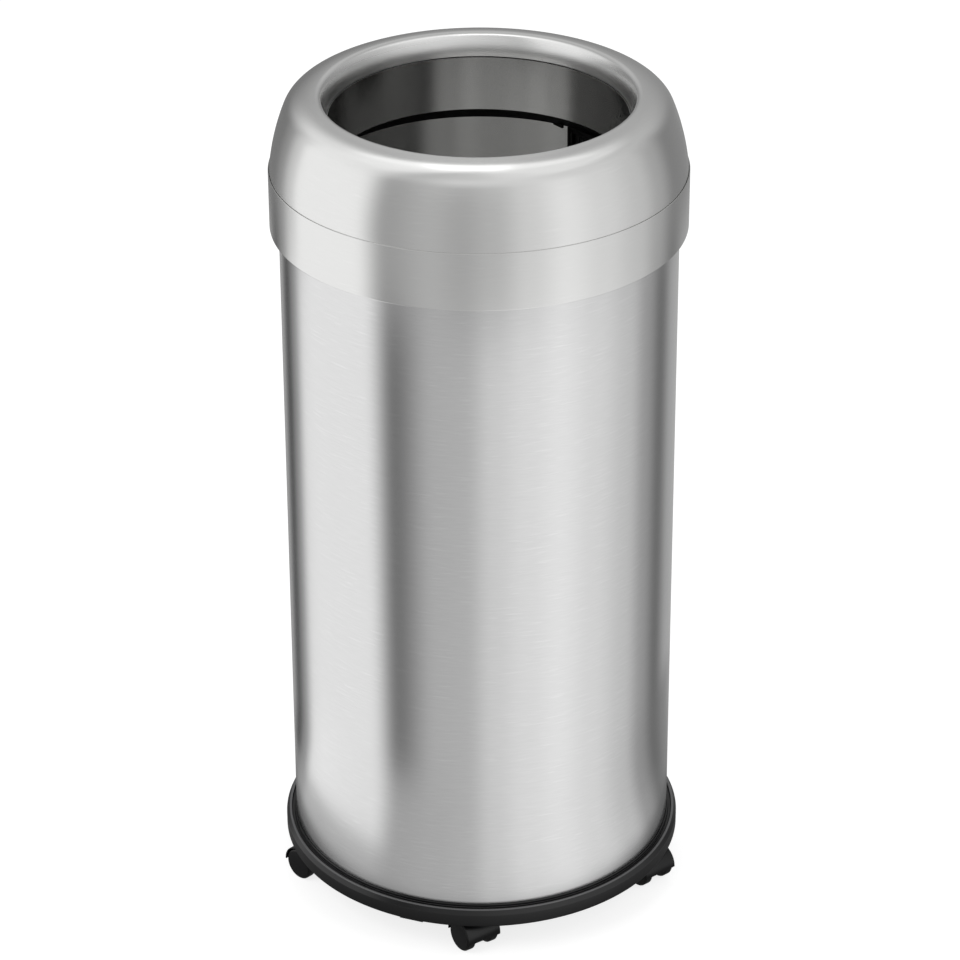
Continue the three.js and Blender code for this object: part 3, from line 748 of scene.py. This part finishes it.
pocket = {
    "width": 100, "height": 32, "depth": 21, "wall": 1.8, "cover": 1.8, "barrel": 2.2,
    "pin": 1.0, "slots": 9, "slotShare": 0.5, "slotHeight": 0.62, "pad": 12, "fit": 0.3,
    "coverGap": 0.6, "padGap": 1.5, "pinGap": 0.4, "spigotGap": 1.1,
    "crumple": 0.25,                              # how far the pad's front face is uneven
}
pocketAzimuths = {"right": 130, "left": 310}
pocketHalf = pocket["width"] / 2
pocketReach = (math.sqrt((spigotRadius - pocket["spigotGap"]) ** 2 - pocketHalf ** 2)
               - pocket["depth"])
tabSide = pocketHalf + pocket["fit"]
tabEnd = tabSide + frameSize["tabWidth"]
tabShift = math.sqrt(flareRadius ** 2 - (tabSide + frameSize["tabWidth"] / 2) ** 2) - pocketReach
for azimuth in pocketAzimuths.values():
    tab = boxMesh((pocketReach, tabSide, flareBottom - frameSize["tabDrop"]),
                  (pocketReach + frameSize["tabThickness"], tabEnd, flareBottom + 1))
    frameMeshes.append(placed(tab, turned(azimuth - 90) @ shifted(tabShift, 0, 0)))
addPiece("lidFrameMoulded", frameMeshes, framePlastic, "lid", "black_plastic", "lid_frame")
print("lid frame moulded")

# Odour filter pockets, made with the door facing -X, then turned to their azimuths
pocketTop = flareBottom - pocket["fit"]
pocketBottom = pocketTop - pocket["height"]
pocketWall = pocket["wall"]
cavityHalf = pocketHalf - pocketWall
cavityTop = pocketTop - pocketWall
cavityFloor = pocketBottom + pocketWall
hingeHeight = cavityFloor + pocket["barrel"] + pocket["fit"]
hingeReach = pocketReach + pocket["barrel"]
pocketBack = pocketReach + pocket["depth"]


def makePocketShell():
    # five walls of a box that is open towards -X, with a rounded lip
    outer = [(pocketReach, -pocketHalf, pocketBottom), (pocketBack, pocketHalf, pocketTop)]
    inner = [(pocketReach, -cavityHalf, cavityFloor),
             (pocketBack - pocketWall, cavityHalf, cavityTop)]
    points = []
    for low, high in (outer, inner):
        points += [(x * mm, y * mm, z * mm) for x in (low[0], high[0])
                   for y, z in ((low[1], low[2]), (high[1], low[2]), (high[1], high[2]),
                                (low[1], high[2]))]
    faces = [(4, 5, 6, 7), (12, 15, 14, 13)]
    for i in range(4):
        j = (i + 1) % 4
        faces += [(i, j, 4 + j, 4 + i), (8 + i, 12 + i, 12 + j, 8 + j), (i, 8 + i, 8 + j, j)]
    return bevelled(faceOutwards(meshFrom("pocketShell", points, faces)), 0.5, 3)


def rodSection(radius, half, rounding):
    return roundedSection([(0, -half, 0), (radius, -half, rounding), (radius, half, rounding),
                           (0, half, 0)])


def alongHinge(mesh):
    return placed(mesh, shifted(hingeReach, 0, hingeHeight) @ turned(90, "X"))


def makePinMesh():
    section = rodSection(pocket["pin"], pocketHalf - pocket["fit"], 0.3)
    return alongHinge(turnedMesh("pin", section, zinc, 24))


def makeCoverMeshes():
    # an open plate with upright slats, over its hinge barrel
    half, top = cavityHalf - pocket["coverGap"], cavityTop - pocket["coverGap"]
    front = hingeReach - pocket["cover"] / 2
    back = front + pocket["cover"]
    pitch = 2 * half / pocket["slots"]
    slotHalf = pitch * pocket["slotShare"] / 2
    barrel, bore = pocket["barrel"], pocket["pin"] + pocket["pinGap"]
    height = top - hingeHeight - barrel
    margin = height * (1 - pocket["slotHeight"]) / 2
    low, high = hingeHeight + barrel + margin, top - margin
    slatLow, slatHigh = low - 0.3, high + 0.3            # the slats run a little into the plate
    slat = boxMesh((front, -half - slotHalf + 0.01, slatLow),
                   (back, -half + slotHalf - 0.01, slatHigh))
    # the first and last slats end flush with the plate, so the row starts one pitch in
    placed(slat, shifted(0, pitch, 0))
    meshes = [
        boxMesh((front, -half, hingeHeight), (back, half, low), 0.35),
        boxMesh((front, -half, high), (back, half, top), 0.5),
        copiedMesh(slat, rowOfCopies, {
            "Count": pocket["slots"] - 1, "Step": (0, pitch * mm, 0), "Finish": framePlastic}),
    ]
    for left, right in ((-half, slotHalf - half), (half - slotHalf, half)):
        meshes.append(boxMesh((front, left, slatLow), (back, right, slatHigh)))
    barrelSection = roundedSection([
        (bore, -half, 0.2), (barrel, -half, 0.4), (barrel, half, 0.4), (bore, half, 0.2)])
    meshes.append(alongHinge(turnedMesh("coverBarrel", barrelSection, framePlastic, 24)))
    return meshes


def makePadMesh():
    # a felt block with a slightly uneven face
    back, gap = pocketBack - pocketWall - pocket["fit"], pocket["padGap"]
    low = (back - pocket["pad"], gap - cavityHalf, cavityFloor + pocket["fit"])
    mesh = boxMesh(low, (back, cavityHalf - gap, cavityTop - gap), 1.6, 3)
    work = bmesh.new()
    work.from_mesh(mesh)
    bmesh.ops.subdivide_edges(work, edges=[e for e in work.edges if e.calc_length() > 8 * mm],
                              cuts=9, use_grid_fill=True)
    for vertex in work.verts:
        wave = math.sin(vertex.co.y / mm * 0.9) * math.sin(vertex.co.z / mm * 1.3)
        if vertex.co.x < (low[0] + 3) * mm:
            vertex.co.x += pocket["crumple"] * mm * wave
    work.to_mesh(mesh)
    work.free()
    return shade(mesh, 60)


for side, azimuth in pocketAzimuths.items():
    toPlace = turned(azimuth - 90)
    addPiece(f"filterPocket.{side}", [makePocketShell()], framePlastic,
             "lid", "black_plastic", f"filter_pocket_{side}", place=toPlace)
    addPiece(f"filterCover.{side}", makeCoverMeshes(), framePlastic,
             f"cover_{side}", "black_plastic", f"filter_cover_{side}", place=toPlace)
    addPiece(f"filterPin.{side}", [makePinMesh()], zinc,
             "lid", "zinc_plated_steel", f"filter_pin_{side}", place=toPlace)
    addPiece(f"filterPad.{side}", [makePadMesh()], felt,
             "lid", "carbon_felt", f"filter_pad_{side}", place=toPlace)
print("filter pockets made")


def arcPoints(x, z, radius, first, last, steps):
    turns = [math.radians(first + (last - first) * i / steps) for i in range(steps + 1)]
    return [(x + radius * math.cos(t), z + radius * math.sin(t)) for t in turns]


# Casters, each made with its stem on Z and its wheels trailing along +X, on an axle along Y
wheelInset = caster["web"] / 2 + caster["gap"]
stemBore = caster["stemRadius"] + caster["stemGap"]


def alongAxle(mesh, side=1):
    return placed(mesh, shifted(caster["trail"], 0, caster["wheelRadius"])
                  @ turned(-90 * side, "X"))


def makeWheelMesh(side):
    # a rounded tread round a plain, faintly crowned face, and a blind bore inside
    radius, width = caster["wheelRadius"], caster["wheelWidth"]
    bore, depth = caster["wheelBore"], caster["boreDepth"]
    section = roundedSection([
        (0, depth, 0), (bore, depth, 0), (bore, 0, 0.3), (radius * 0.86, 0, 0.3),
        (radius - 1.5, 0.5, 0.8), (radius, 1.9, 1.6), (radius, width - 1.9, 1.6),
        (radius - 1.6, width - 0.35, 0.9), (radius * 0.5, width, 2.5), (0, width, 0),
    ])
    mesh = turnedMesh("wheel", section, casterNylon, 64)
    return alongAxle(placed(mesh, shifted(0, 0, wheelInset)), side)


def makeHoodMeshes():
    # a half cover over both treads, the web that carries it and the boss round the stem
    x, z = caster["trail"], caster["wheelRadius"]
    outer, inner = hoodRadius, hoodRadius - caster["hoodWall"]
    skirt, brow, foot = caster["skirtAngle"], caster["browAngle"], caster["footAngle"]
    width = 2 * (wheelInset + caster["wheelWidth"])
    half, seat, top = caster["web"] / 2, hoodTop - caster["stemSeat"], hoodTop - 0.05
    fender = arcPoints(x, z, outer, skirt, brow, 40) + arcPoints(x, z, inner, brow, skirt, 40)
    web = (arcPoints(x, z, outer - caster["hoodWall"] / 2, skirt, brow, 40) + [(-half, seat)]
           + arcPoints(x, z, caster["webDrop"], foot, 360 + skirt, 20))
    bossSection = roundedSection([
        (stemBore, seat, 0), (stemBore, top, 0.4), (half, top, 0.5), (half, seat - 2.5, 0.5),
        (stemBore, seat - 2.5, 0.5)])
    return [plateMesh(fender, width, 0.6, 3), plateMesh(web, caster["web"], 0.5),
            turnedMesh("hoodBoss", bossSection, casterNylon, 40)]


def makeStemMesh():
    # a pin with a flange over the hood and a groove near its top
    low, flange = hoodTop - caster["stemSeat"] + 0.3, hoodTop + 0.3
    r, wide, flangeTop = caster["stemRadius"], caster["flangeRadius"], flange + caster["flange"]
    return turnedMesh("stem", roundedSection([
        (0, low, 0), (r, low, 0.4), (r, flange, 0.2), (wide, flange, 0.4),
        (wide, flangeTop, 0.5), (r, flangeTop, 0.3),
        (r, stemTop - 5.2, 0.3), (r - 0.5, stemTop - 4.6, 0.2), (r - 0.5, stemTop - 3.4, 0.2),
        (r, stemTop - 2.8, 0.3), (r - 0.8, stemTop, 0.6), (0, stemTop, 0)]), zinc, 40)


def makeSleeveMesh():
    low, flange = sleeveBottom, sleeveBottom + caster["sleeveFlange"]
    wide, outer = caster["sleeveRadius"], stemBore + caster["sleeveWall"]
    return turnedMesh("sleeve", roundedSection([
        (stemBore, low, 0.3), (wide, low, 0.3), (wide, flange, 0.4), (outer, flange, 0.2),
        (outer, stemTop, 0.3), (stemBore, stemTop, 0.3)]), zinc, 40)


def makeAxleMesh():
    half = wheelInset + caster["wheelWidth"] - caster["axleShort"]
    return alongAxle(turnedMesh("axle", rodSection(caster["axle"], half, 0.4), zinc, 32))


def casterPlace(name):
    # from the frame's joints: the swivel's place, and the way from it to the wheel's axle
    swivel = Vector(joints[f"{name}_swivel"]["pos_m"])
    axle = Vector(joints[f"{name}_left_spin"]["pos_m"])
    other = Vector(joints[f"{name}_right_spin"]["pos_m"])
    trail = (axle + other) / 2 - swivel
    heading = math.degrees(math.atan2(trail.y, trail.x))
    return Matrix.Translation((swivel.x, swivel.y, 0)) @ turned(heading)


for number in range(1, casterCount + 1):
    name = f"caster_{number}"
    here = casterPlace(name)
    addPiece(f"casterSleeve.{number}", [makeSleeveMesh()], zinc,
             "can", "zinc_plated_steel", f"{name}_sleeve", place=here)
    addPiece(f"casterStem.{number}", [makeStemMesh()], zinc,
             name, "zinc_plated_steel", f"{name}_stem", place=here)
    addPiece(f"casterHood.{number}", makeHoodMeshes(), casterNylon,
             name, "black_nylon", f"{name}_hood", place=here)
    addPiece(f"casterAxle.{number}", [makeAxleMesh()], zinc,
             name, "zinc_plated_steel", f"{name}_axle", place=here)
    for side, sign in (("left", -1), ("right", 1)):
        addPiece(f"casterWheel.{number}.{side}", [makeWheelMesh(sign)], casterNylon,
                 f"{name}_{side}", "black_nylon", f"{name}_wheel_{side}", place=here)
print("casters made")

cameraSize = {
    "place": (6.07, -3173.96, 2136.96), "pitch": 28.5035, "roll": -0.172,  # mm and degrees
    "lens": 142.911, "sensor": 36, "shiftX": -0.00692, "shiftY": 0.00027,
}
cameraData = bpy.data.cameras.new("photoView")
cameraData.lens = cameraSize["lens"]
cameraData.sensor_width = cameraSize["sensor"]
cameraData.shift_x = cameraSize["shiftX"]
cameraData.shift_y = cameraSize["shiftY"]
camera = bpy.data.objects.new("photoView", cameraData)
scene.collection.objects.link(camera)
tilt, roll = turned(90 - cameraSize["pitch"], "X"), turned(cameraSize["roll"])
camera.matrix_world = shifted(*cameraSize["place"]) @ tilt @ roll
scene.camera = camera


def addLamp(name, width, height, power, matrix, unseenBy):
    # an area lamp that the camera and one kind of ray don't see
    data = bpy.data.lights.new(name, "AREA")
    data.shape = "RECTANGLE"
    data.size = width
    data.size_y = height
    data.energy = power
    light = bpy.data.objects.new(name, data)
    scene.collection.objects.link(light)
    light.matrix_world = matrix
    light.visible_camera = False
    setattr(light, f"visible_{unseenBy}", False)


# Soft lamps light what is matt, in metres and watts. The light tent is what the steel mirrors.
lampList = {
    "keyLeft": {"place": (-1.6, -1.3, 2.2), "size": 1.4, "power": 22},
    "fillRight": {"place": (1.8, -1.0, 1.7), "size": 1.6, "power": 13},
    "topBack": {"place": (0.2, 1.4, 2.6), "size": 1.6, "power": 14},
}
lampAim = Vector((0, 0, 0.4))
for name, lamp in lampList.items():
    place = Vector(lamp["place"])
    facing = (lampAim - place).to_track_quat("-Z", "Y").to_matrix().to_4x4()
    addLamp(name, lamp["size"], lamp["size"], lamp["power"],
            Matrix.Translation(place) @ facing, "glossy")

# Upright strip lamps stand in a ring inside the front of the can, looking at the axis. The inner
# walls mirror them as soft bands. Sizes are metres, and strips are (azimuth, glow).
insideLamps = {
    "radius": 0.12, "low": 0.3, "high": 0.67, "width": 0.043,
    "strips": [(-75.5, 2.2), (-54.5, 2.75), (-33.5, 2.3), (-12.5, 2.05), (8.5, 2.45),
               (30.5, 1.95), (51.5, 0.25)],
}
stripWidth, stripLength = insideLamps["width"], insideLamps["high"] - insideLamps["low"]
stripPlace = (0, -insideLamps["radius"], (insideLamps["low"] + insideLamps["high"]) / 2)
for azimuth, glow in insideLamps["strips"]:
    addLamp("insideStrip", stripWidth, stripLength, glow * math.pi * stripWidth * stripLength,
            turned(azimuth) @ Matrix.Translation(stripPlace) @ turned(-90, "X"), "diffuse")

world = bpy.data.worlds.new("paleStudio")
scene.world = world
world.use_nodes = True
worldTree = world.node_tree
worldTree.nodes.clear()
rays = addNode(worldTree, "ShaderNodeLightPath").outputs
seen = addNode(worldTree, "ShaderNodeMath", {
    0: rays["Is Camera Ray"], 1: rays["Is Glossy Ray"]}, operation="MAXIMUM")
seenThrough = addNode(worldTree, "ShaderNodeMath", {
    0: seen, 1: rays["Is Transmission Ray"]}, operation="MAXIMUM")
level = addNode(worldTree, "ShaderNodeMapRange", {
    "Value": seenThrough, "To Min": 0.55, "To Max": 1.0})
backdrop = addNode(worldTree, "ShaderNodeBackground", {"Color": (1, 1, 1, 1), "Strength": level})
addNode(worldTree, "ShaderNodeOutputWorld", {"Surface": backdrop})

floorSize = {"half": 40, "tone": 0.36, "glow": 0.8}     # metres, and shares of white
floorMaterial, floorTree, floorShader = newMaterial("palePaperFloor")[:3]
floorRays = addNode(floorTree, "ShaderNodeLightPath").outputs
floorSeen = addNode(floorTree, "ShaderNodeMath", {
    0: floorRays["Is Camera Ray"], 1: floorRays["Is Glossy Ray"]}, operation="MAXIMUM")
floorGlow = addNode(floorTree, "ShaderNodeMath", {0: floorSeen, 1: floorSize["glow"]},
                    operation="MULTIPLY")
setSockets(floorTree, floorShader, {
    "Base Color": (*[floorSize["tone"]] * 3, 1), "Roughness": 1.0, "Specular IOR Level": 0.0,
    "Emission Color": (1, 1, 1, 1), "Emission Strength": floorGlow})
half = floorSize["half"]
floorMesh = meshFrom("floor", [
    (-half, -half, 0), (half, -half, 0), (half, half, 0), (-half, half, 0)], [(0, 1, 2, 3)])
floor = newPiece("floor", floorMesh, floorMaterial)

# The light tent stands round the can, and only the steel and the gloss see it. Each row is a soft
# card: its azimuth in degrees from the front towards the right, and how bright the floor card, the
# wall's foot, the lower wall and the upper wall are there. The cap and the top over them have
# rows of their own.
tentRows = [
    (-90, 0.53, 1.0, 0.96, 0.98), (-54, 0.53, 0.95, 0.96, 0.98), (-39.5, 0.45, 0.46, 0.19, 0.38),
    (-20, 0.5, 0.5, 0.52, 0.49), (-7, 0.54, 0.54, 0.54, 0.43), (6, 0.7, 0.74, 0.76, 0.52),
    (21, 0.86, 0.88, 0.88, 0.72), (37, 0.95, 0.96, 0.98, 0.9), (55, 0.84, 0.84, 0.84, 0.76),
    (76, 0.65, 0.62, 0.65, 0.6), (90, 0.38, 0.34, 0.38, 0.42), (105, 0.2, 0.17, 0.16, 0.24),
    (122, 0.26, 0.26, 0.42, 0.26), (140, 0.4, 0.38, 0.46, 0.3), (180, 0.5, 0.5, 0.5, 0.25),
    (224, 0.5, 0.4, 0.4, 0.2), (240, 0.25, 0.08, 0.06, 0.2), (250, 0.35, 0.3, 0.3, 0.3),
    (262, 0.53, 0.95, 0.92, 0.66), (270, 0.53, 1.0, 0.96, 0.98),
]
capRows = [(-90, 0.95), (-62, 0.92), (-38, 0.55), (-8, 0.74), (25, 0.76), (55, 0.72), (110, 0.54),
           (150, 0.46), (180, 0.56), (215, 0.46), (245, 0.86), (270, 0.95)]
topRows = [(-90, 1), (-62, 0.96), (-38, 0.55), (-8, 0.64), (25, 0.8), (55, 0.9), (110, 0.82),
           (150, 0.46), (180, 0.56), (215, 0.46), (245, 0.86), (270, 1)]
tentSize = {
    "radius": 0.4, "height": 1.15, "facets": 96, "capSteps": 12,
    "underGlow": 0.14,
    # where one tone turns into the next, in metres along the floor from the axis and up the wall
    "underEdge": (0.24, 0.27), "floorEdge": (0.3, 0.34), "footEdge": (0.42, 0.47),
    "wallEdge": (0.5, 0.62), "capEdge": (0.8, 1.05), "topEdge": (1.1, 1.25),  # heights in metres
}
tentMaterial, tentTree, tentLight, tentPlace = newMaterial("lightTent", "ShaderNodeEmission")
tentTurn = addNode(tentTree, "ShaderNodeTexGradient", {"Vector": tentPlace},
                   gradient_type="RADIAL").outputs["Fac"]
tentAxes = addNode(tentTree, "ShaderNodeSeparateXYZ", {"Vector": tentPlace}).outputs
onFloor = addNode(tentTree, "ShaderNodeCombineXYZ", {"X": tentAxes["X"], "Y": tentAxes["Y"]})
fromAxis = addNode(tentTree, "ShaderNodeVectorMath", {0: onFloor}, operation="LENGTH")
reach = addNode(tentTree, "ShaderNodeMath", {0: fromAxis, 1: tentAxes["Z"]}, operation="ADD")
tentTone = tentSize["underGlow"]
for measure, edge, rows, column in (
        (reach, "underEdge", tentRows, 1), (reach, "floorEdge", tentRows, 2),
        (reach, "footEdge", tentRows, 3), (tentAxes["Z"], "wallEdge", tentRows, 4),
        (tentAxes["Z"], "capEdge", capRows, 1), (tentAxes["Z"], "topEdge", topRows, 1)):
    # the tone so far below the edge and the next ring of cards above it, with a soft run between
    ring = addNode(tentTree, "ShaderNodeValToRGB", {"Fac": tentTurn}, fade="EASE",
                   stops=[((row[0] + 90) / 360, row[column]) for row in rows])
    share = addNode(tentTree, "ShaderNodeMapRange", {
        "Value": measure, "From Min": tentSize[edge][0], "From Max": tentSize[edge][1]},
        interpolation_type="SMOOTHSTEP")
    tentTone = addNode(tentTree, "ShaderNodeMix", {0: share, 2: tentTone, 3: ring})
setSockets(tentTree, tentLight, {"Strength": tentTone})
tentOutline = [(0, 0.001), (tentSize["radius"], 0.001)]
for k in range(tentSize["capSteps"] + 1):
    lean = math.radians(90 * k / tentSize["capSteps"])
    tentOutline.append((tentSize["radius"] * math.cos(lean),
                        tentSize["height"] + tentSize["radius"] * math.sin(lean)))
tentPoints, tentFaces = [], []
rows = len(tentOutline)
for i in range(tentSize["facets"]):
    turn = 2 * math.pi * i / tentSize["facets"]
    tentPoints += [(r * math.cos(turn), r * math.sin(turn), z) for r, z in tentOutline]
    here, following = i * rows, (i + 1) % tentSize["facets"] * rows
    tentFaces += [(here + k, following + k, following + k + 1, here + k + 1)
                  for k in range(rows - 1)]
tent = newPiece("lightTent", meshFrom("lightTent", tentPoints, tentFaces), tentMaterial)

# A softbox bent like the rim hangs over the lid, for the bright crests on the crown, in metres.
# Its glow runs along it from left to right: (x, share of the full glow).
softbox = {
    "back": -0.02, "height": 1.15, "length": 0.7, "radius": 0.082, "edge": 0.024, "bend": 1.25,
    "steps": 32, "glow": 1.6,
    "run": [(-0.35, 0.74), (-0.13, 0.74), (-0.09, 1), (0.04, 1), (0.08, 0.68), (0.2, 0.66),
            (0.35, 0.5)],
}
softboxMaterial, softboxTree, softboxCard, softboxPlace = newMaterial(
    "overheadSoftbox", "ShaderNodeMixShader")
softboxAxes = addNode(softboxTree, "ShaderNodeSeparateXYZ", {"Vector": softboxPlace}).outputs
square = addNode(softboxTree, "ShaderNodeMath", {0: softboxAxes["X"], 1: softboxAxes["X"]},
                 operation="MULTIPLY")
straight = addNode(softboxTree, "ShaderNodeMath", {
    0: square, 1: -softbox["bend"], 2: softboxAxes["Y"]}, operation="MULTIPLY_ADD")
squeezed = addNode(softboxTree, "ShaderNodeMath", {
    0: softboxAxes["X"], 1: 2 * softbox["radius"] / softbox["length"]}, operation="MULTIPLY")
flattened = addNode(softboxTree, "ShaderNodeCombineXYZ", {"X": squeezed, "Y": straight})
fromMiddle = addNode(softboxTree, "ShaderNodeVectorMath", {
    0: flattened, 1: (0, softbox["back"], 0)}, operation="DISTANCE")
softEdge = addNode(softboxTree, "ShaderNodeMapRange", {
    "Value": fromMiddle, "From Min": softbox["radius"],
    "From Max": softbox["radius"] - softbox["edge"]}, interpolation_type="SMOOTHSTEP")
alongBox = addNode(softboxTree, "ShaderNodeMapRange", {
    "Value": softboxAxes["X"], "From Min": -softbox["length"] / 2,
    "From Max": softbox["length"] / 2})
run = addNode(softboxTree, "ShaderNodeValToRGB", {"Fac": alongBox}, fade="EASE",
              stops=[(x / softbox["length"] + 0.5, share) for x, share in softbox["run"]])
softboxGlow = addNode(softboxTree, "ShaderNodeMath", {0: run, 1: softbox["glow"]},
                      operation="MULTIPLY")
softboxLight = addNode(softboxTree, "ShaderNodeEmission", {"Strength": softboxGlow})
clear = addNode(softboxTree, "ShaderNodeBsdfTransparent")
setSockets(softboxTree, softboxCard, {0: softEdge, 1: clear, 2: softboxLight})
softboxPoints = []
for k in range(softbox["steps"] + 1):
    x = softbox["length"] * (k / softbox["steps"] - 0.5)
    middle = softbox["back"] + softbox["bend"] * x * x
    softboxPoints += [(x, middle + side * softbox["radius"], softbox["height"])
                      for side in (-1, 1)]
softboxMesh = meshFrom("overheadSoftbox", softboxPoints, [
    (2 * k, 2 * k + 2, 2 * k + 3, 2 * k + 1) for k in range(softbox["steps"])])
for card in (tent, newPiece("overheadSoftbox", softboxMesh, softboxMaterial)):
    for kind in ("camera", "diffuse", "transmission", "volume_scatter", "shadow"):
        setattr(card, f"visible_{kind}", False)
print("stage made")
